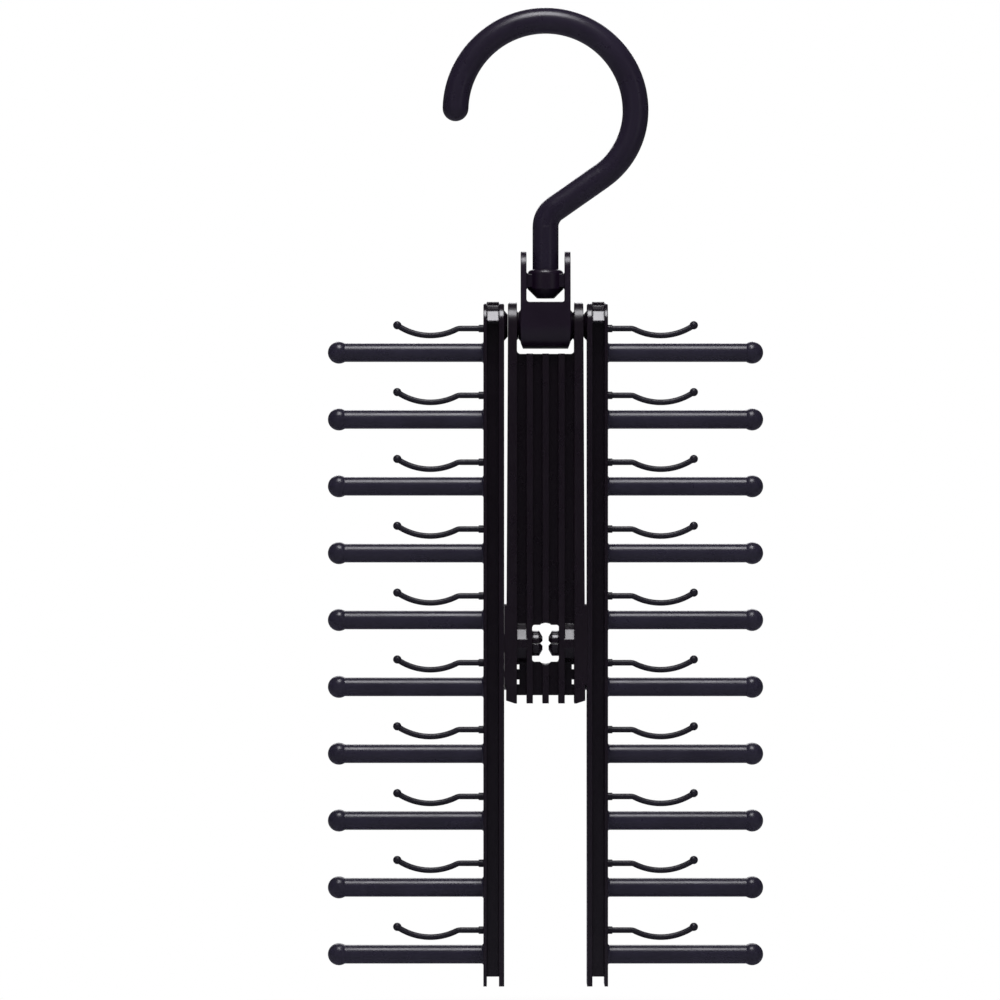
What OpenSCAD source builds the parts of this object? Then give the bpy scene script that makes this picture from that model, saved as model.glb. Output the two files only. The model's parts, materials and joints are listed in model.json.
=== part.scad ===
// Tie hanger with a swivelling, tilting hook and two hinged rails of bars.
// Millimetres. The origin is the hook's seat: the inner crown of its loop, where a wardrobe rail touches.
// +Z is up, +X is to the right and +Y goes away from the viewer.

/* [Hook] */
// Diameter of the round rod that makes the hook
rod_d = 9.9; // [8:0.1:12]
// Radius of the loop, to the middle of the rod
loop_r = 34.2; // [30:0.1:42]
// Radius of the tighter stretch under the loop's right side
return_r = 30.4; // [26:0.1:33]
// Turn of that stretch, in degrees, before the rod runs straight
return_turn = 55; // [45:1:62]
// Turn of the loop from its right side over the top to the tip, in degrees
tip_turn = 178.5; // [160:0.5:188]
// Radius of the bend into the stem, to the middle of the rod
stem_bend_r = 8.4; // [7:0.1:11]
// Free height of the stem over the socket
stem_h = 16.3; // [12:0.1:24]

/* [Swivel socket] */
// Wall of the socket round the rod
socket_wall = 1.8; // [1.3:0.1:2.2]
// Height of the socket, with its cone
socket_h = 10.9; // [9.6:0.1:13]
// Depth of the rod's seat in the socket
seat_h = 6.9; // [5.6:0.1:7.2]
// Radius of the socket's blunt lower end
socket_tip_r = 3.3; // [2:0.1:4]
// Depth of the snap groove in the rod
snap_depth = 0.6; // [0.3:0.05:0.9]
// Height of the snap ring in the socket
snap_h = 1.6; // [1.2:0.1:1.9]
// Depth of the snap ring below the socket's mouth
snap_drop = 2.6; // [2.1:0.1:2.8]
// Chamfer at the rod's end
rod_chamfer = 0.7; // [0.3:0.1:1]

/* [Yoke] */
// Free width between the rod and each cheek
cheek_gap = 2.3; // [1.8:0.1:4]
// Thickness of each cheek
cheek_t = 2.2; // [1.6:0.1:3.2]
// Radius of each cheek's round top, seen from the side
cheek_top_r = 7; // [5.5:0.1:8.2]
// Rise of the cheeks over the socket's mouth
cheek_rise = 6.9; // [2:0.1:8]
// Height of the cross web that joins the socket to the cheeks
cross_h = 4.9; // [3:0.1:5.4]
// Depth of that cross web, front to back
cross_d = 9; // [6:0.1:12]
// Free height between the socket's tip and the knuckle block
block_gap = 1.55; // [1:0.05:4]
// Radius of the knuckle about the tilt axis
knuckle_r = 8.8; // [8:0.1:9.4]
// Radius of the small fillets in the yoke's corners
yoke_fillet_r = 1; // [0.4:0.1:1.4]
// Width of the chamfer on the yoke's lower corners
toe_w = 0.9; // [0.3:0.1:1.5]
// Height of that chamfer
toe_h = 2.4; // [1:0.1:3]

/* [Tilt trunnions] */
// Diameter of the trunnion pins
trunnion_d = 6.4; // [5:0.1:8]
// Length of the trunnion pins in the fork walls
trunnion_l = 2.4; // [1.6:0.1:2.8]
// Diameter of the thrust shoulders' flat faces
thrust_d = 10; // [9:0.1:11]
// Flare of the shoulders at their root
thrust_flare = 1.1; // [0.3:0.1:1.4]

/* [Spine] */
// Depth of the spine and the rails, front to back
body_d = 17.6; // [17:0.1:20]
// Corner radius at the fork eyes' tops, seen from the front
eye_corner_r = 1; // [0.4:0.1:1.6]
// Free width between each cheek and the fork wall
fork_gap = 1.42; // [1.2:0.02:2.4]
// Thickness of the pads on the inner faces of the fork eyes
eye_pad_t = 0.52; // [0.2:0.02:0.7]
// Thickness of the side walls at the head
wall_t = 3.43; // [3.3:0.01:5]
// Extra thickness of the side walls at the foot
wall_flare = 0.7; // [0:0.05:1.2]
// Free height between the knuckle and the web below it
web_gap = 1.95; // [1.2:0.05:5]
// Thickness of the web at mid depth
web_t = 2.2; // [1.6:0.1:4]
// Thickness of each rib
rib_t = 2.4; // [1.6:0.1:2.8]
// Depth of the ribs, front to back
rib_d = 15.4; // [10:0.1:16]
// Length of the side walls and ribs below the rails' pivot
foot_l = 22.6; // [20:0.1:34]
// How far the web stops short of the foot
foot_notch = 2.9; // [1:0.1:4]
// Corner radius between the web's upper edge and the side walls
web_corner_r = 1.4; // [0.5:0.1:1.8]
// Width of the slant on the side walls' lower corners
foot_slant_w = 3.4; // [0.4:0.1:3.6]
// Height of that slant
foot_slant_h = 1.1; // [0.4:0.1:3]

/* [Pivot window] */
// Width of the window that the pin heads stand in
window_w = 10.2; // [9.8:0.1:11]
// Free height between the pin heads and the window's edges
window_gap = 2.2; // [1.5:0.1:3]
// Corner radius of the window
window_corner_r = 1; // [0.4:0.1:1.4]
// Rise of the small arch in the middle of the window's edges
window_arch_h = 0.9; // [0.3:0.1:1.5]
// Half width of that arch
window_arch_w = 2.1; // [1.2:0.1:3]

/* [Bearing blocks] */
// Depth of the blocks that carry the pins and close the rails' tops, front to back
block_d = 15.8; // [14:0.1:16.6]
// Height of their upright faces
block_face_h = 3.2; // [2.4:0.1:4]
// Height of the slants over and under those faces
block_slant_h = 3.8; // [3:0.1:4.4]
// Lean of the slants, in degrees
block_lean = 33.5; // [20:0.5:38]
// Height of the shallow ends that run out on the web
block_end_h = 2; // [1:0.1:2.4]

/* [Rails] */
// Width of each rail
rail_w = 7.9; // [6.5:0.1:11]
// Free width between the spine's foot and each rail
foot_slot = 0.7; // [0.5:0.05:1.6]
// Thickness of each rail's inner wall
rail_inner_t = 2; // [1.4:0.1:2.6]
// Thickness of each rail's outer wall
rail_outer_t = 1.3; // [0.8:0.1:2]
// Thickness of each rail's web
rail_web_t = 2.2; // [1.6:0.1:4]
// Distance from each rail's top to the underside of its top block
cap_l = 7.7; // [5:0.1:8.6]
// How far the rails' webs stand over the fork eyes
cap_rise = 0.2; // [0:0.05:0.4]
// How far the webs stand over the rails' own round walls
cap_crown = 0.4; // [0.2:0.05:0.8]
// Corner radius at each rail's top, seen from the front
rail_corner_r = 1; // [0.4:0.1:1.1]
// How far the web stops short of each rail's foot
rail_notch = 3.1; // [1:0.1:5]
// Distance from each rail's top to the first bar
first_bar = 19.25; // [18:0.05:24]
// Distance from the last bar to each rail's foot
last_bar = 11.55; // [7:0.05:20]
// Bars on each rail
bar_count = 10; // [6:1:12]
// Distance from bar to bar
bar_pitch = 25.4; // [18:0.1:30]

/* [Rail pivots] */
// Diameter of the pivot pins
pin_d = 7; // [5.5:0.1:8]
// Diameter of the pins' barbed heads
pin_head_d = 9.6; // [8.6:0.1:11]
// Diameter of the heads' blunt tips
pin_tip_d = 5; // [3.5:0.1:5.4]
// Length of the heads' taper
pin_taper_l = 1.3; // [0.8:0.1:2]
// Free width between the tips of the two pins
tip_gap = 2.3; // [1.4:0.1:3]
// Width of the slit that lets a head close
slit_w = 0.25; // [0.2:0.05:1]
// Length of that slit
slit_l = 8; // [5:0.1:10]
// Width of the notch at the slit's mouth
mouth_w = 1.9; // [1.2:0.1:2.4]
// Diameter of the round bosses round the pin holes
hub_d = 10.6; // [9:0.1:12]
// Inner radius of the wear pads round the pivot
pad_in_r = 7.6; // [6.6:0.1:8]
// Outer radius of the wear pads
pad_out_r = 17.7; // [16:0.1:18.5]
// Height of the wear pads over the pivot
pad_top_h = 14.8; // [12:0.1:15.5]
// Distance from the pivot to the stop pin
stop_r = 11.8; // [11:0.1:12.2]
// Diameter of the stop pin
stop_d = 2.6; // [2:0.1:2.8]
// How far each rail swings open, in degrees
open_turn = 35; // [20:1:36]
// Width of the relief slits in the web beside the stop pins
relief_w = 0.9; // [0.6:0.1:1.4]
// Length of each relief slit
relief_l = 1.8; // [1:0.1:3]
// Distance between the two relief slits of a pair, centre to centre
relief_pitch = 5.7; // [4:0.1:6.5]

/* [Rest bosses] */
// Diameter of the bosses by which the closed rails rest on the fork eyes
rest_d = 8.4; // [6:0.1:10]
// Flare of the bosses at their root
rest_flare = 1.6; // [0.3:0.1:2]

/* [Bars] */
// Diameter of each bar
bar_d = 7.1; // [5.5:0.1:9]
// Length of each bar with its ball end
bar_l = 59.1; // [50:0.1:80]
// Diameter of the ball ends
ball_d = 8.4; // [7.2:0.1:11]
// Radius of the fillet at each bar's root
root_r = 0.8; // [0.3:0.1:1.4]

/* [Clip fingers] */
// Diameter of each finger
finger_d = 2.2; // [1.6:0.1:3]
// Free height between a finger's dip and its bar
clip_gap = 1.85; // [1:0.05:3]
// Length of a finger's straight root
finger_root_l = 8.9; // [6:0.1:14]
// Radius of the knee after the root
knee_r = 3; // [2:0.1:6]
// Depth of the dip below the root
dip_h = 2.66; // [1.5:0.02:3.6]
// Radius of the dip
dip_r = 22.2; // [14:0.1:28]
// Rise of the finger's end over the level, in degrees
tip_rise = 34.5; // [20:0.5:45]
// Diameter of the finger's ball end
finger_ball_d = 3.2; // [2.4:0.1:4.4]
// Diameter of the collar at the finger's root
finger_collar_d = 2.9; // [2.3:0.1:4]
// Length of that collar
finger_collar_l = 1.8; // [0.8:0.1:3]

/* [Clearances] */
// Radial gap of the running fits
run_gap = 0.07; // [0.03:0.01:0.1]
// Gap between parts that pass each other without touching
side_gap = 0.3; // [0.2:0.05:0.4]
// Gap between flat faces that rub on each other
rub_gap = 0.03; // [0.02:0.01:0.2]

/* [Hidden] */
$fn = 64;
SIDES = ["left", "right"];

// Colours: one glossy black moulding, in shades that tell the pieces apart
BLACK = [0.10, 0.09, 0.12];
BLACK_HEAD = [0.13, 0.12, 0.16];
BLACK_SPINE = [0.08, 0.07, 0.10];
BLACK_BAR = [0.14, 0.13, 0.18];

// A cut starts this far outside the face that it opens, and a join this far inside
over = 0.5;
// Lap of the arcs that join two rods, and how much thinner such an arc is
joint_lap = 0.12;
joint_step = 0.06;
rod_r = rod_d / 2;

// Heights of the hook, from the seat down
loop_z = rod_r - loop_r;
return_x = loop_r - return_r;
return_end_x = return_x + return_r * cos(return_turn);
return_end_z = loop_z - return_r * sin(return_turn);
bend_shift = stem_bend_r * (1 - cos(return_turn));
slope_l = (return_end_x - bend_shift) / sin(return_turn);
bend_end_z = return_end_z - slope_l * cos(return_turn) - stem_bend_r * sin(return_turn);

// Heights of the head
socket_z = bend_end_z - stem_h;
socket_r = rod_r + run_gap + socket_wall;
rod_end_z = socket_z - seat_h + side_gap;
head_z = socket_z - socket_h - block_gap - knuckle_r;
cheek_l = knuckle_r + block_gap + socket_h + cheek_rise;
web_top_z = head_z - knuckle_r - web_gap;

// Widths, from the rod outwards
cheek_in = rod_r + cheek_gap;
cheek_out = cheek_in + cheek_t;
wall_in = cheek_out + fork_gap;
eye_in = wall_in - eye_pad_t;
head_out = wall_in + wall_t;
foot_out = head_out + wall_flare;
rail_in = foot_out + foot_slot;
rail_out = rail_in + rail_w;
recess_in = rail_in + rail_inner_t;
recess_out = rail_out - rail_outer_t;
pad_face = rail_in - rub_gap;
thrust_face = eye_in - rub_gap;
rib_gap = (2 * wall_in - 3 * rib_t) / 4;
rib_x = rib_gap + rib_t;
first_rib_out = rib_x + rib_t / 2;

// Heights of the rails and the spine's foot
rail_l = first_bar + (bar_count - 1) * bar_pitch + last_bar;
body_r = body_d / 2;
eye_top_z = head_z + body_r;
rail_top_z = eye_top_z + cap_rise;
rail_wall_z = rail_top_z - cap_crown;
rail_foot_z = rail_top_z - rail_l;
pivot_z = rail_top_z - rail_l / 2;
foot_z = pivot_z - foot_l;
window_h = pin_head_d + 2 * window_gap;
relief_z = pivot_z - stop_r;

// Clip finger
knee_turn = acos(1 - dip_h / (dip_r + knee_r));
clip_rise = bar_d / 2 + clip_gap + finger_d / 2 + dip_h;

function bar_z(i) = rail_top_z - first_bar - (i - 1) * bar_pitch;

// Half width of the spine's outer faces at height z
function wall_out(z) = head_out + wall_flare * (head_z - z) / (head_z - foot_z);

// Draws a right-hand shape and its mirror image on the left
module both_sides() {
    children();
    mirror([1, 0, 0])
        children();
}

// Turns a right-hand shape half a turn about Z for the left side
module on_side(side) {
    rotate([0, 0, side == "left" ? 180 : 0])
        children();
}

// Extrudes an outline seen from the side, drawn in Y and Z, from x0 to x1
module across(x0, x1) {
    translate([x0, 0, 0])
        rotate([90, 0, 90])
            linear_extrude(x1 - x0)
                children();
}

// Extrudes an outline seen from the front, drawn in X and Z, over a depth about mid depth
module through(depth) {
    translate([0, depth / 2, 0])
        rotate([90, 0, 0])
            linear_extrude(depth)
                children();
}

// Revolves a profile, drawn as radius and distance, about the X axis
module about_x() {
    rotate([90, 0, 90])
        rotate_extrude()
            children();
}

module rounded_rect(w, h, r) {
    square([w - 2 * r, h], center = true);
    square([w, h - 2 * r], center = true);
    for (x = [-1, 1], y = [-1, 1])
        translate([x * (w / 2 - r), y * (h / 2 - r)])
            circle(r);
}

// A concave fillet that fills the corner at the origin, open towards +X and +Y
module corner_fillet(r) {
    difference() {
        translate([-over, -over])
            square(r + over);
        translate([r, r])
            circle(r);
        translate([r, -2 * over])
            square([over, r + 4 * over]);
        translate([-2 * over, r])
            square([r + 4 * over, over]);
    }
}

// The side outline that the spine and the rails share: straight, with a round top
module round_topped_side(foot, top) {
    translate([-body_r, foot])
        square([body_d, top - body_r - foot]);
    translate([0, top - body_r])
        circle(body_r);
}

// A bearing block seen from the side, drawn about its axis
module block_side() {
    face_z = block_face_h / 2;
    slant_z = face_z + block_slant_h;
    corner = [
        [block_d / 2, face_z],
        [block_d / 2 - block_slant_h * tan(block_lean), slant_z],
        [web_t / 2, slant_z + block_end_h]
    ];
    polygon(concat(
        corner,
        [for (i = [2 : -1 : 0]) [-corner[i].x, corner[i].y]],
        [for (i = [0 : 2]) [-corner[i].x, -corner[i].y]],
        [for (i = [2 : -1 : 0]) [corner[i].x, -corner[i].y]]
    ));
}

// Part of a ring of round rod, seen from the front, counted anticlockwise from +X
module rod_arc(r, d, start, turn) {
    rotate([90, 0, 0])
        rotate([0, 0, start])
            rotate_extrude(angle = turn)
                translate([r, 0])
                    circle(d = d);
}

// An arc that joins two rods: a hair thinner than them, and lapped into both
module joining_arc(r, d, start, turn) {
    lap_turn = joint_lap / r * 180 / PI;
    rod_arc(r, d - joint_step, start - lap_turn, turn + 2 * lap_turn);
}

module half_disc(d) {
    intersection() {
        circle(d = d);
        translate([0, -d / 2])
            square([d / 2, d]);
    }
}

// The stem's lower end has a groove that the socket's ring snaps into
module stem() {
    groove_r = rod_r - snap_depth;
    groove_top = socket_z - snap_drop + side_gap;
    groove_foot = socket_z - snap_drop - snap_h - run_gap;
    rotate_extrude()
        polygon([
            [0, rod_end_z],
            [rod_r - rod_chamfer, rod_end_z],
            [rod_r, rod_end_z + rod_chamfer],
            [rod_r, groove_foot],
            [groove_r, groove_foot],
            [groove_r, groove_top],
            [rod_r, groove_top],
            [rod_r, bend_end_z],
            [0, bend_end_z]
        ]);
}

module hook() {
    color(BLACK) {
        translate([0, 0, loop_z]) {
            rod_arc(loop_r, rod_d, 0, tip_turn);
            translate([loop_r * cos(tip_turn), 0, loop_r * sin(tip_turn)])
                sphere(d = rod_d - joint_step);
        }
        translate([return_x, 0, loop_z])
            joining_arc(return_r, rod_d, -return_turn, return_turn);
        translate([return_end_x, 0, return_end_z])
            rotate([0, return_turn - 180, 0])
                cylinder(d = rod_d, h = slope_l);
        translate([stem_bend_r, 0, bend_end_z])
            joining_arc(stem_bend_r, rod_d, 180 - return_turn, return_turn);
        stem();
    }
}

// The socket's outer profile: a rounded mouth, a straight barrel and a blunt cone
module socket_outline() {
    cone_h = socket_r - socket_tip_r;
    polygon([
        [0, -socket_h],
        [socket_tip_r, -socket_h],
        [socket_r, cone_h - socket_h],
        [socket_r, -socket_wall],
        [socket_r - socket_wall, -socket_wall],
        [socket_r - socket_wall, 0],
        [0, 0]
    ]);
    translate([socket_r - socket_wall, -socket_wall])
        intersection() {
            circle(socket_wall);
            square(socket_wall);
        }
}

// The rod's seat, with the snap ring left standing in it
module socket_cavity() {
    bore_r = rod_r + run_gap;
    ring_r = rod_r - snap_depth + run_gap;
    rotate_extrude()
        polygon([
            [0, -seat_h],
            [bore_r, -seat_h],
            [bore_r, -snap_drop - snap_h],
            [ring_r, -snap_drop - snap_h],
            [ring_r, -snap_drop],
            [bore_r, -snap_drop],
            [bore_r, over],
            [0, over]
        ]);
}

module cross_web() {
    cross_top = -socket_wall;
    through(cross_d)
        union() {
            translate([-cheek_in - over, cross_top - cross_h])
                square([2 * (cheek_in + over), cross_h]);
            for (side = [-1, 1])
                scale([side, 1]) {
                    translate([cheek_in, cross_top])
                        mirror([1, 0])
                            corner_fillet(yoke_fillet_r);
                    translate([cheek_in, cross_top - cross_h])
                        mirror([1, 0])
                            mirror([0, 1])
                                corner_fillet(yoke_fillet_r);
                }
        }
}

// The cheeks and the knuckle block between them, seen from the front
module fork_front() {
    both_sides() {
        polygon([
            [-over, -knuckle_r - over],
            [cheek_out - toe_w, -knuckle_r - over],
            [cheek_out - toe_w, -knuckle_r],
            [cheek_out, toe_h - knuckle_r],
            [cheek_out, cheek_l + over],
            [cheek_in, cheek_l + over],
            [cheek_in, knuckle_r],
            [-over, knuckle_r]
        ]);
        translate([cheek_in, knuckle_r])
            mirror([1, 0])
                corner_fillet(yoke_fillet_r);
    }
}

// A cheek seen from the side: round below, straight beside the block, then tapering to a round top
module cheek_side() {
    top_c = cheek_l - cheek_top_r;
    slope_h = top_c - knuckle_r;
    lean = acos(cheek_top_r / norm([knuckle_r, slope_h])) - atan(slope_h / knuckle_r);
    circle(knuckle_r);
    translate([0, top_c])
        circle(cheek_top_r);
    polygon([
        [-knuckle_r, 0],
        [knuckle_r, 0],
        [knuckle_r, knuckle_r],
        [cheek_top_r * cos(lean), top_c + cheek_top_r * sin(lean)],
        [-cheek_top_r * cos(lean), top_c + cheek_top_r * sin(lean)],
        [-knuckle_r, knuckle_r]
    ]);
}

// A flared shoulder that stands on the cheek and bears on the fork eye's pad
module thrust_shoulder() {
    about_x()
        polygon([
            [0, cheek_out - over],
            [thrust_d / 2 + thrust_flare, cheek_out - over],
            [thrust_d / 2 + thrust_flare, cheek_out],
            [thrust_d / 2, thrust_face],
            [0, thrust_face]
        ]);
}

module yoke() {
    color(BLACK_HEAD)
        difference() {
            union() {
                translate([0, 0, socket_z]) {
                    rotate_extrude()
                        socket_outline();
                    cross_web();
                }
                translate([0, 0, head_z]) {
                    intersection() {
                        through(2 * (knuckle_r + over))
                            fork_front();
                        across(-cheek_out - over, cheek_out + over)
                            cheek_side();
                    }
                    both_sides() {
                        thrust_shoulder();
                        across(cheek_out - over, eye_in + trunnion_l)
                            circle(d = trunnion_d);
                    }
                }
            }
            translate([0, 0, socket_z])
                socket_cavity();
        }
}

// One side wall seen from the front, with a slanted corner at its foot and a round one at its eye
module wall_front() {
    top = eye_top_z + joint_step;
    polygon([
        [wall_in, foot_z],
        [foot_out - foot_slant_w, foot_z],
        [wall_out(foot_z + foot_slant_h), foot_z + foot_slant_h],
        [head_out, head_z],
        [head_out, top - eye_corner_r],
        [head_out - eye_corner_r, top - eye_corner_r],
        [head_out - eye_corner_r, top],
        [wall_in, top]
    ]);
    translate([head_out - eye_corner_r, top - eye_corner_r])
        circle(eye_corner_r);
}

module fork_eye_pad() {
    translate([0, 0, head_z])
        about_x()
            polygon([
                [0, eye_in],
                [thrust_d / 2, eye_in],
                [thrust_d / 2 + eye_pad_t, wall_in],
                [thrust_d / 2 + eye_pad_t, wall_in + over],
                [0, wall_in + over]
            ]);
}

// Raised pads that the rail slides on, a hub round the pin hole, and the pin that stops the swing
module pivot_pads() {
    translate([0, 0, pivot_z]) {
        across(wall_out(pivot_z) - over, pad_face)
            intersection() {
                difference() {
                    circle(pad_out_r);
                    circle(pad_in_r);
                }
                translate([-body_r, pad_top_h - 2 * pad_out_r])
                    square([body_d, 2 * pad_out_r]);
            }
        across(wall_out(pivot_z) - over, pad_face)
            circle(d = hub_d);
        across(pad_face - over, recess_in - side_gap)
            translate([0, -stop_r])
                circle(d = stop_d);
    }
}

module window_outline() {
    arch_r = (window_arch_w ^ 2 + window_arch_h ^ 2) / (2 * window_arch_h);
    rounded_rect(window_w, window_h, window_corner_r);
    for (side = [-1, 1])
        translate([0, side * (window_h / 2 + window_arch_h - arch_r)])
            circle(arch_r);
}

module relief_slits() {
    for (step = [-0.5, 0.5])
        translate([wall_in - relief_w, relief_z + step * relief_pitch - relief_l / 2])
            square([relief_w, relief_l]);
}

module spine() {
    web_foot = foot_z + foot_notch;
    color(BLACK_SPINE)
        difference() {
            union() {
                both_sides() {
                    intersection() {
                        through(body_d + 2 * over)
                            wall_front();
                        across(wall_in - over, foot_out + over)
                            round_topped_side(foot_z - over, eye_top_z);
                    }
                    fork_eye_pad();
                    pivot_pads();
                    across(first_rib_out - over, wall_in + over)
                        translate([0, pivot_z])
                            block_side();
                    through(web_t)
                        translate([wall_in, web_top_z])
                            mirror([1, 0])
                                corner_fillet(web_corner_r);
                }
                through(web_t)
                    translate([-wall_in - over, web_foot])
                        square([2 * (wall_in + over), web_top_z - web_foot]);
                through(rib_d)
                    for (step = [-1 : 1])
                        translate([step * rib_x - rib_t / 2, foot_z])
                            square([rib_t, web_top_z - foot_z]);
            }
            through(body_d + 2 * over)
                translate([0, pivot_z])
                    window_outline();
            both_sides() {
                across(0, pad_face + over)
                    translate([0, pivot_z])
                        circle(d = pin_d + 2 * run_gap);
                across(eye_in - over, eye_in + trunnion_l + side_gap)
                    translate([0, head_z])
                        circle(d = trunnion_d + 2 * run_gap);
                through(web_t + 2 * over)
                    relief_slits();
            }
        }
}

// A rail's walls seen from the front, with rounded corners at their tops
module rail_front() {
    top = rail_wall_z + joint_step;
    translate([rail_in, rail_foot_z])
        square([rail_w, top - rail_corner_r - rail_foot_z]);
    translate([rail_in + rail_corner_r, rail_foot_z])
        square([rail_w - 2 * rail_corner_r, top - rail_foot_z]);
    for (x = [rail_in + rail_corner_r, rail_out - rail_corner_r])
        translate([x, top - rail_corner_r])
            circle(rail_corner_r);
}

// The pockets that leave a rail two walls and a web
module rail_pockets() {
    recess_w = recess_out - recess_in;
    for (face = [-1, 1])
        scale([1, face, 1])
            translate([recess_in, rail_web_t / 2, rail_foot_z - over])
                cube([recess_w, body_d, rail_l + 2 * over]);
    translate([recess_in, -body_d, rail_foot_z - over])
        cube([recess_w, 2 * body_d, rail_notch + over]);
}

// The block that closes a rail's top between the walls, with the web standing over it
module rail_cap() {
    across(recess_in, recess_out) {
        intersection() {
            translate([0, head_z])
                block_side();
            translate([-body_d, rail_top_z - cap_l])
                square(2 * body_d);
        }
        translate([-rail_web_t / 2, rail_top_z - cap_l])
            square([rail_web_t, cap_l]);
    }
}

// A flared boss on the rail that meets the fork eye when the rail is closed
module rest_boss() {
    rest_face = wall_out(head_z - rest_d) + rub_gap;
    translate([0, 0, head_z])
        about_x()
            polygon([
                [0, rest_face],
                [rest_d / 2, rest_face],
                [rest_d / 2 + rest_flare, rail_in],
                [rest_d / 2 + rest_flare, rail_in + over],
                [0, rail_in + over]
            ]);
}

// The curved slot that the spine's stop pin runs in
module stop_slot() {
    slot_d = stop_d + 2 * side_gap;
    across(rail_in - over, recess_in)
        translate([0, pivot_z])
            union() {
                intersection() {
                    difference() {
                        circle(stop_r + slot_d / 2);
                        circle(stop_r - slot_d / 2);
                    }
                    polygon([
                        [0, 0],
                        [0, -2 * stop_r],
                        [2 * stop_r * sin(open_turn), -2 * stop_r * cos(open_turn)]
                    ]);
                }
                for (turn = [0, open_turn])
                    translate([stop_r * sin(turn), -stop_r * cos(turn)])
                        circle(d = slot_d - joint_step);
            }
}

// A pin with a barbed, slit head that snaps into the spine's window
module pivot_pin() {
    catch_x = window_w / 2 - rub_gap;
    tip_x = tip_gap / 2;
    mouth_l = mouth_w / 2;
    translate([0, 0, pivot_z])
        difference() {
            about_x()
                polygon([
                    [0, tip_x],
                    [pin_tip_d / 2, tip_x],
                    [pin_head_d / 2, tip_x + pin_taper_l],
                    [pin_head_d / 2, catch_x],
                    [pin_d / 2, catch_x],
                    [pin_d / 2, rail_in + over],
                    [0, rail_in + over]
                ]);
            through(pin_head_d + 2 * over) {
                translate([tip_x - over, -slit_w / 2])
                    square([slit_l + over, slit_w]);
                polygon([
                    [tip_x - over, -mouth_w / 2 - over],
                    [tip_x + mouth_l, 0],
                    [tip_x - over, mouth_w / 2 + over]
                ]);
            }
        }
}

module rail() {
    difference() {
        intersection() {
            through(body_d + 2 * over)
                rail_front();
            across(rail_in - over, rail_out + over)
                round_topped_side(rail_foot_z - over, rail_wall_z);
        }
        rail_pockets();
        stop_slot();
    }
    rail_cap();
    rest_boss();
    pivot_pin();
}

module left_rail() {
    color(BLACK)
        on_side("left")
            rail();
}

module right_rail() {
    color(BLACK)
        on_side("right")
            rail();
}

// A round bar with a ball end and a small fillet at its root, along X from the origin
module bar() {
    ball_x = bar_l - ball_d / 2;
    rotate([90, 0, 90])
        rotate_extrude() {
            square([bar_d / 2, ball_x]);
            translate([0, ball_x])
                half_disc(ball_d);
            difference() {
                square([bar_d / 2 + root_r, root_r]);
                translate([bar_d / 2 + root_r, root_r])
                    circle(root_r);
            }
        }
}

// A springy finger along X from the origin: a straight root, a dip towards the bar and a raised ball end
module finger() {
    knee_end_x = finger_root_l + knee_r * sin(knee_turn);
    knee_end_z = -knee_r * (1 - cos(knee_turn));
    dip_x = knee_end_x + dip_r * sin(knee_turn);
    dip_z = knee_end_z + dip_r * cos(knee_turn);
    rotate([0, 90, 0]) {
        cylinder(d = finger_d, h = finger_root_l);
        cylinder(d = finger_collar_d, h = finger_collar_l);
    }
    translate([finger_root_l, 0, -knee_r])
        joining_arc(knee_r, finger_d, 90 - knee_turn, knee_turn);
    translate([dip_x, 0, dip_z])
        rod_arc(dip_r, finger_d, -90 - knee_turn, knee_turn + tip_rise);
    translate([dip_x + dip_r * sin(tip_rise), 0, dip_z - dip_r * cos(tip_rise)])
        sphere(d = finger_ball_d);
}

module bar_on(side, i) {
    color(BLACK_BAR)
        on_side(side)
            translate([rail_out, 0, bar_z(i)])
                bar();
}

module clip_on(side, i) {
    color(BLACK_BAR)
        on_side(side)
            translate([rail_out, 0, bar_z(i) + clip_rise])
                finger();
}

hook();
yoke();
spine();
left_rail();
right_rail();
for (side = SIDES, i = [1 : bar_count]) {
    bar_on(side, i);
    clip_on(side, i);
}
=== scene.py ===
import json
import math

import bpy
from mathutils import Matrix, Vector


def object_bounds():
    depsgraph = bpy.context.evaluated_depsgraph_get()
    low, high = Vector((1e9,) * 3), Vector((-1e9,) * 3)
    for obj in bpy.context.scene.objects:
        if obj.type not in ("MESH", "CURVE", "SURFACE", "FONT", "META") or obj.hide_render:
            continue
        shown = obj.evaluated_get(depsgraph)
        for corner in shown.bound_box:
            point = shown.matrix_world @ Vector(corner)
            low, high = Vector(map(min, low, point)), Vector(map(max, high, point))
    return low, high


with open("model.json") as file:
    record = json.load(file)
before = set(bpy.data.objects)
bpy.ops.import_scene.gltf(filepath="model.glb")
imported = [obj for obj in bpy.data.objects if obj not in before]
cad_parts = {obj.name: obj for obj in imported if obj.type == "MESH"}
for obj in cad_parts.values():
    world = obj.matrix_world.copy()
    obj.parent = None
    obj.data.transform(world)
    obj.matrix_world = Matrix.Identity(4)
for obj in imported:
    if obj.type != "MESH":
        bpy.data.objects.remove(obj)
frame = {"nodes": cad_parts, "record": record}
cad_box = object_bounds()

# One pixel of the photograph's frame covers this much of the object, in metres
METRES_PER_PIXEL = 0.00038
FRAME_PIXELS = 1000
# The photograph's centre in the object's frame: x, then z
VIEW_CENTRE = (-0.0173, -0.1772)
VIEW_DISTANCE = 2.2
SENSOR_WIDTH = 36.0
CLIP_START = 0.05
CLIP_END = 20.0


def cleared_nodes(owner):
    """The empty node tree of a new material or world, as its nodes and its links."""
    owner.use_nodes = True
    owner.node_tree.nodes.clear()
    return owner.node_tree.nodes, owner.node_tree.links


def mixed_shaders(nodes, links, factor, first, second):
    mix = nodes.new("ShaderNodeMixShader")
    links.new(factor, mix.inputs["Fac"])
    links.new(first, mix.inputs[1])
    links.new(second, mix.inputs[2])
    return mix.outputs["Shader"]


# Materials

PLASTIC_IOR = 1.54
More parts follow.
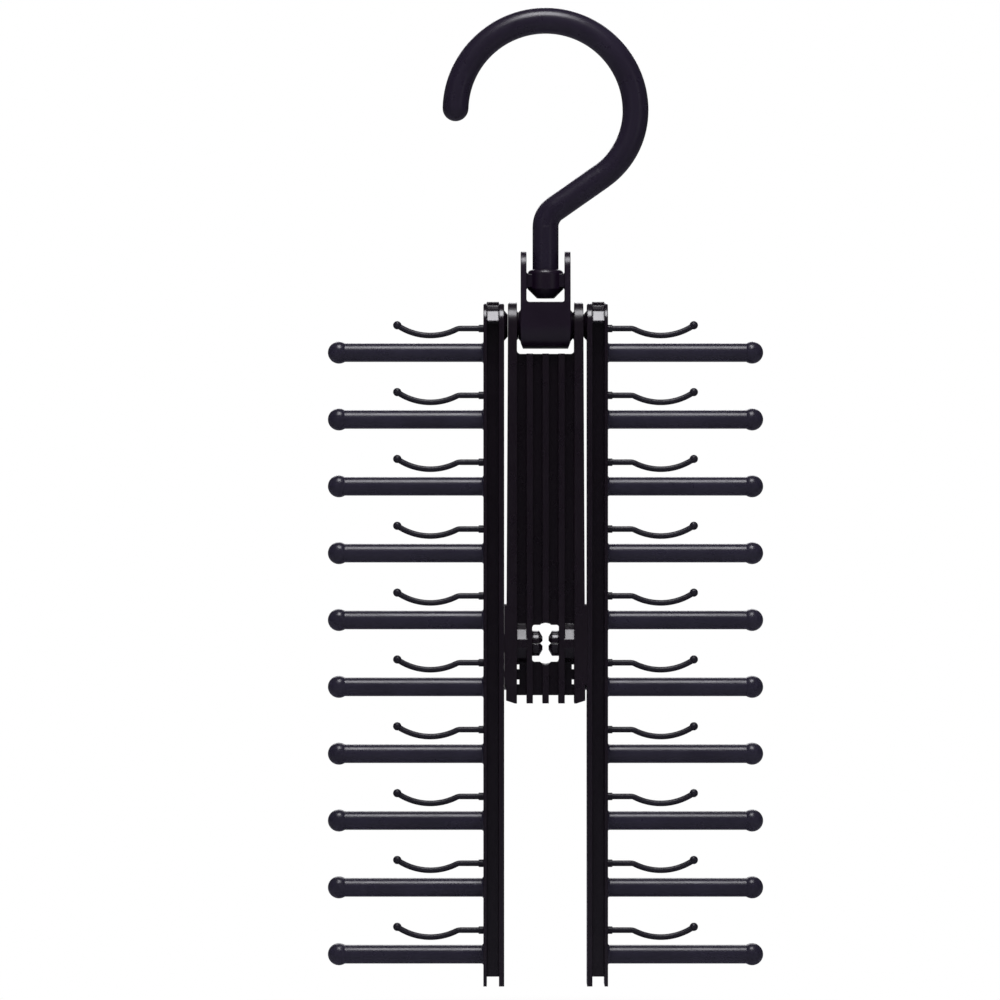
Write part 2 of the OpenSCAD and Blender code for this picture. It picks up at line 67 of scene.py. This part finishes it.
# Pigment clouds, stretched a little along the flow of the plastic
FLOW_SCALE = (60.0, 60.0, 25.0)
CLOUD_SCALE = 1.0
CLOUD_DETAIL = 4.0
CLOUD_ROUGHNESS = 0.55
# Where the pigment is all deep, and where it is all pale
CLOUD_RANGE = (0.30, 0.72)
# Polish: how much less and how much more rough than the finish says
POLISH_SCALE = 140.0
POLISH_DETAIL = 3.0
POLISH_RANGE = (0.3, 0.7)
POLISH_SPREAD = (-0.035, 0.045)
# Slow ripple of the surface, with its height in metres
RIPPLE_SCALE = 220.0
RIPPLE_DETAIL = 1.0
RIPPLE_STRENGTH = 0.10
RIPPLE_HEIGHT = 0.00025
# Mould grain, with its height in metres
GRAIN_SCALE = 2600.0
GRAIN_DETAIL = 2.0
GRAIN_HEIGHT = 0.00004
EDGE_SAMPLES = 6

# Pigments, mean roughness, specular level, strength of the grain, and edge radius in metres
FINISH_VALUES = {
    "hook_black": {
        "deep": (0.0120, 0.0086, 0.0180), "pale": (0.0165, 0.0122, 0.0245),
        "rough": 0.29, "gloss": 0.32, "grain": 0.10, "edge_radius": 0.0003,
    },
    "yoke_black": {
        "deep": (0.0072, 0.0030, 0.0098), "pale": (0.0100, 0.0045, 0.0135),
        "rough": 0.33, "gloss": 0.44, "grain": 0.12, "edge_radius": 0.0005,
    },
    "spine_black": {
        "deep": (0.0056, 0.0027, 0.0060), "pale": (0.0078, 0.0042, 0.0082),
        "rough": 0.29, "gloss": 0.42, "grain": 0.12, "edge_radius": 0.0005,
    },
    "rail_black": {
        "deep": (0.0063, 0.0035, 0.0069), "pale": (0.0087, 0.0053, 0.0096),
        "rough": 0.20, "gloss": 0.50, "grain": 0.10, "edge_radius": 0.0008,
    },
    "bar_black": {
        "deep": (0.0155, 0.0133, 0.0245), "pale": (0.0210, 0.0183, 0.0330),
        "rough": 0.30, "gloss": 0.32, "grain": 0.14, "edge_radius": 0.0002,
    },
    "clip_black": {
        "deep": (0.0095, 0.0082, 0.0140), "pale": (0.0135, 0.0115, 0.0190),
        "rough": 0.42, "gloss": 0.30, "grain": 0.14, "edge_radius": 0.0002,
    },
}


def noise_texture(nodes, links, vector, scale, detail):
    noise = nodes.new("ShaderNodeTexNoise")
    noise.inputs["Scale"].default_value = scale
    noise.inputs["Detail"].default_value = detail
    links.new(vector, noise.inputs["Vector"])
    return noise


def bumped_normal(nodes, links, texture, normal, strength, height):
    bump = nodes.new("ShaderNodeBump")
    bump.inputs["Strength"].default_value = strength
    bump.inputs["Distance"].default_value = height
    links.new(texture.outputs["Fac"], bump.inputs["Height"])
    links.new(normal, bump.inputs["Normal"])
    return bump.outputs["Normal"]


def moulded_plastic(name, deep, pale, rough, gloss, grain, edge_radius):
    """Black injection-moulded plastic: pigment clouds, a fine mould grain and softened edges."""
    mat = bpy.data.materials.new(name)
    nodes, links = cleared_nodes(mat)
    out = nodes.new("ShaderNodeOutputMaterial")
    bsdf = nodes.new("ShaderNodeBsdfPrincipled")
    links.new(bsdf.outputs["BSDF"], out.inputs["Surface"])
    bsdf.inputs["IOR"].default_value = PLASTIC_IOR
    bsdf.inputs["Metallic"].default_value = 0.0
    bsdf.inputs["Specular IOR Level"].default_value = gloss
    place = nodes.new("ShaderNodeTexCoord").outputs["Object"]

    # Pigment that isn't quite even
    flow = nodes.new("ShaderNodeMapping")
    flow.inputs["Scale"].default_value = FLOW_SCALE
    links.new(place, flow.inputs["Vector"])
    cloud = noise_texture(nodes, links, flow.outputs["Vector"], CLOUD_SCALE, CLOUD_DETAIL)
    cloud.inputs["Roughness"].default_value = CLOUD_ROUGHNESS
    tint = nodes.new("ShaderNodeValToRGB")
    for stop, position, colour in zip(tint.color_ramp.elements, CLOUD_RANGE, (deep, pale)):
        stop.position = position
        stop.color = (*colour, 1.0)
    links.new(cloud.outputs["Fac"], tint.inputs["Fac"])
    links.new(tint.outputs["Color"], bsdf.inputs["Base Color"])

    # Polish that varies with the mould's surface
    polish = noise_texture(nodes, links, place, POLISH_SCALE, POLISH_DETAIL)
    spread = nodes.new("ShaderNodeMapRange")
    spread.inputs["From Min"].default_value = POLISH_RANGE[0]
    spread.inputs["From Max"].default_value = POLISH_RANGE[1]
    spread.inputs["To Min"].default_value = rough + POLISH_SPREAD[0]
    spread.inputs["To Max"].default_value = rough + POLISH_SPREAD[1]
    links.new(polish.outputs["Fac"], spread.inputs["Value"])
    links.new(spread.outputs["Result"], bsdf.inputs["Roughness"])

    # Mould grain and slow ripple over edges that are softly broken
    soft = nodes.new("ShaderNodeBevel")
    soft.samples = EDGE_SAMPLES
    soft.inputs["Radius"].default_value = edge_radius
    ripple = noise_texture(nodes, links, place, RIPPLE_SCALE, RIPPLE_DETAIL)
    slow = bumped_normal(nodes, links, ripple, soft.outputs["Normal"], RIPPLE_STRENGTH, RIPPLE_HEIGHT)
    speck = noise_texture(nodes, links, place, GRAIN_SCALE, GRAIN_DETAIL)
    fine = bumped_normal(nodes, links, speck, slow, grain, GRAIN_HEIGHT)
    links.new(fine, bsdf.inputs["Normal"])
    return mat


finishes = {name: moulded_plastic(name, **values) for name, values in FINISH_VALUES.items()}
slots = {part["node"]: part["material_slot"] for part in frame["record"]["subparts"]}
for node, obj in frame["nodes"].items():
    for place in obj.material_slots:
        place.material = finishes[slots[node]]


# Stage

WHITE = (1.0, 1.0, 1.0, 1.0)
ROOM_COLOUR = (0.96, 0.97, 1.0, 1.0)
ROOM_STRENGTH = 0.12
# What the plastic's gloss sees: the photograph's dark studio
DARK_ROOM_COLOUR = (0.93, 0.94, 1.0, 1.0)
DARK_ROOM_STRENGTH = 0.05
PAPER_COLOUR = (0.86, 0.86, 0.87, 1.0)
DARK_PAPER_COLOUR = (0.22, 0.22, 0.25, 1.0)
# How far the floor lies under the object, and half its width
FLOOR_DROP = 0.03
FLOOR_REACH = 6.0
# Distances from the middle between which the floor fades to white
FADE_START = 0.16
FADE_END = 0.31
LAMP_COLOUR = (0.97, 0.96, 1.0)


def coloured(nodes, kind, colour, strength=None):
    """A background, diffuse or emission shader of one colour."""
    shader = nodes.new(kind)
    shader.inputs["Color"].default_value = colour
    if strength is not None:
        shader.inputs["Strength"].default_value = strength
    return shader.outputs[0]


def backdrop_world():
    """White where the camera looks past the object, even light on it, and a dark studio in its gloss."""
    world = bpy.data.worlds.new("studio")
    bpy.context.scene.world = world
    nodes, links = cleared_nodes(world)
    out = nodes.new("ShaderNodeOutputWorld")
    path = nodes.new("ShaderNodeLightPath")
    seen = coloured(nodes, "ShaderNodeBackground", WHITE, 1.0)
    room = coloured(nodes, "ShaderNodeBackground", ROOM_COLOUR, ROOM_STRENGTH)
    dark_room = coloured(nodes, "ShaderNodeBackground", DARK_ROOM_COLOUR, DARK_ROOM_STRENGTH)
    around = mixed_shaders(nodes, links, path.outputs["Is Glossy Ray"], room, dark_room)
    world_light = mixed_shaders(nodes, links, path.outputs["Is Camera Ray"], around, seen)
    links.new(world_light, out.inputs["Surface"])


def floor_paper():
    """Pale paper that fades to white for the camera and stays dark in the plastic's gloss."""
    mat = bpy.data.materials.new("floor_paper")
    nodes, links = cleared_nodes(mat)
    out = nodes.new("ShaderNodeOutputMaterial")
    paper = coloured(nodes, "ShaderNodeBsdfDiffuse", PAPER_COLOUR)
    dark_paper = coloured(nodes, "ShaderNodeBsdfDiffuse", DARK_PAPER_COLOUR)
    white = coloured(nodes, "ShaderNodeEmission", WHITE, 1.0)

    where = nodes.new("ShaderNodeTexCoord")
    flat = nodes.new("ShaderNodeVectorMath")
    flat.operation = "MULTIPLY"
    flat.inputs[1].default_value = (1.0, 1.0, 0.0)
    links.new(where.outputs["Object"], flat.inputs[0])
    distance = nodes.new("ShaderNodeVectorMath")
    distance.operation = "LENGTH"
    links.new(flat.outputs["Vector"], distance.inputs[0])
    fade = nodes.new("ShaderNodeMapRange")
    fade.interpolation_type = "SMOOTHSTEP"
    fade.inputs["From Min"].default_value = FADE_START
    fade.inputs["From Max"].default_value = FADE_END
    links.new(distance.outputs["Value"], fade.inputs["Value"])

    path = nodes.new("ShaderNodeLightPath")
    seen_fade = nodes.new("ShaderNodeMath")
    seen_fade.operation = "MULTIPLY"
    links.new(fade.outputs["Result"], seen_fade.inputs[0])
    links.new(path.outputs["Is Camera Ray"], seen_fade.inputs[1])
    sheet = mixed_shaders(nodes, links, path.outputs["Is Glossy Ray"], paper, dark_paper)
    links.new(mixed_shaders(nodes, links, seen_fade.outputs["Value"], sheet, white), out.inputs["Surface"])
    return mat


def floor_plane():
    """A pale floor that keeps the object's shadow."""
    low = cad_box[0][2] - FLOOR_DROP
    corners = [(x * FLOOR_REACH, y * FLOOR_REACH, low) for x, y in ((-1, -1), (1, -1), (1, 1), (-1, 1))]
    mesh = bpy.data.meshes.new("floor")
    mesh.from_pydata(corners, [], [(0, 1, 2, 3)])
    floor = bpy.data.objects.new("floor", mesh)
    bpy.context.scene.collection.objects.link(floor)
    mesh.materials.append(floor_paper())


def softbox(name, turn, rise, reach, size, power, gloss=True):
    """A lamp aimed at the photograph's centre from an azimuth and an elevation in degrees."""
    lamp = bpy.data.lights.new(name, "AREA")
    lamp.shape = "RECTANGLE"
    lamp.size, lamp.size_y = size
    lamp.energy = power
    lamp.color = LAMP_COLOUR
    obj = bpy.data.objects.new(name, lamp)
    bpy.context.scene.collection.objects.link(obj)
    turn, rise = math.radians(turn), math.radians(rise)
    away = Vector((math.sin(turn) * math.cos(rise), -math.cos(turn) * math.cos(rise), math.sin(rise)))
    obj.location = Vector((VIEW_CENTRE[0], 0.0, VIEW_CENTRE[1])) + away * reach
    obj.rotation_euler = (-away).to_track_quat("-Z", "Y").to_euler()
    obj.visible_glossy = gloss


backdrop_world()
floor_plane()
# Overhead softbox: its reflection is the bright line along every bar and on the slanted blocks
softbox("key", turn=0.0, rise=67.0, reach=1.1, size=(0.46, 0.53), power=9.9)
# Lights all round that only lift the pigment
FILL = {"reach": 2.2, "size": (1.4, 1.4), "gloss": False}
softbox("front_fill", turn=0.0, rise=18.0, power=12.0, **FILL)
softbox("left_fill", turn=-125.0, rise=15.0, power=10.0, **FILL)
softbox("right_fill", turn=125.0, rise=15.0, power=10.0, **FILL)
# Dim upright strips that draw the faint lines along the hook's rod
STRIP = {"rise": 6.0, "reach": 1.5, "size": (0.32, 1.2)}
softbox("left_strip", turn=-36.0, power=0.36, **STRIP)
softbox("right_strip", turn=43.0, power=0.60, **STRIP)
# Softbox behind: it draws the form from the sides and the back and only grazes the front's upper edges
softbox("back_key", turn=180.0, rise=27.0, reach=1.3, size=(0.9, 0.45), power=4.5)


# Camera

camera_data = bpy.data.cameras.new("camera")
camera_data.sensor_width = SENSOR_WIDTH
camera_data.lens = camera_data.sensor_width * VIEW_DISTANCE / (METRES_PER_PIXEL * FRAME_PIXELS)
camera_data.clip_start = CLIP_START
camera_data.clip_end = CLIP_END
camera = bpy.data.objects.new("camera", camera_data)
bpy.context.scene.collection.objects.link(camera)
camera.location = (VIEW_CENTRE[0], -VIEW_DISTANCE, VIEW_CENTRE[1])
camera.rotation_euler = (math.radians(90.0), 0.0, 0.0)
bpy.context.scene.camera = camera
bpy.context.scene.view_settings.view_transform = "Standard"
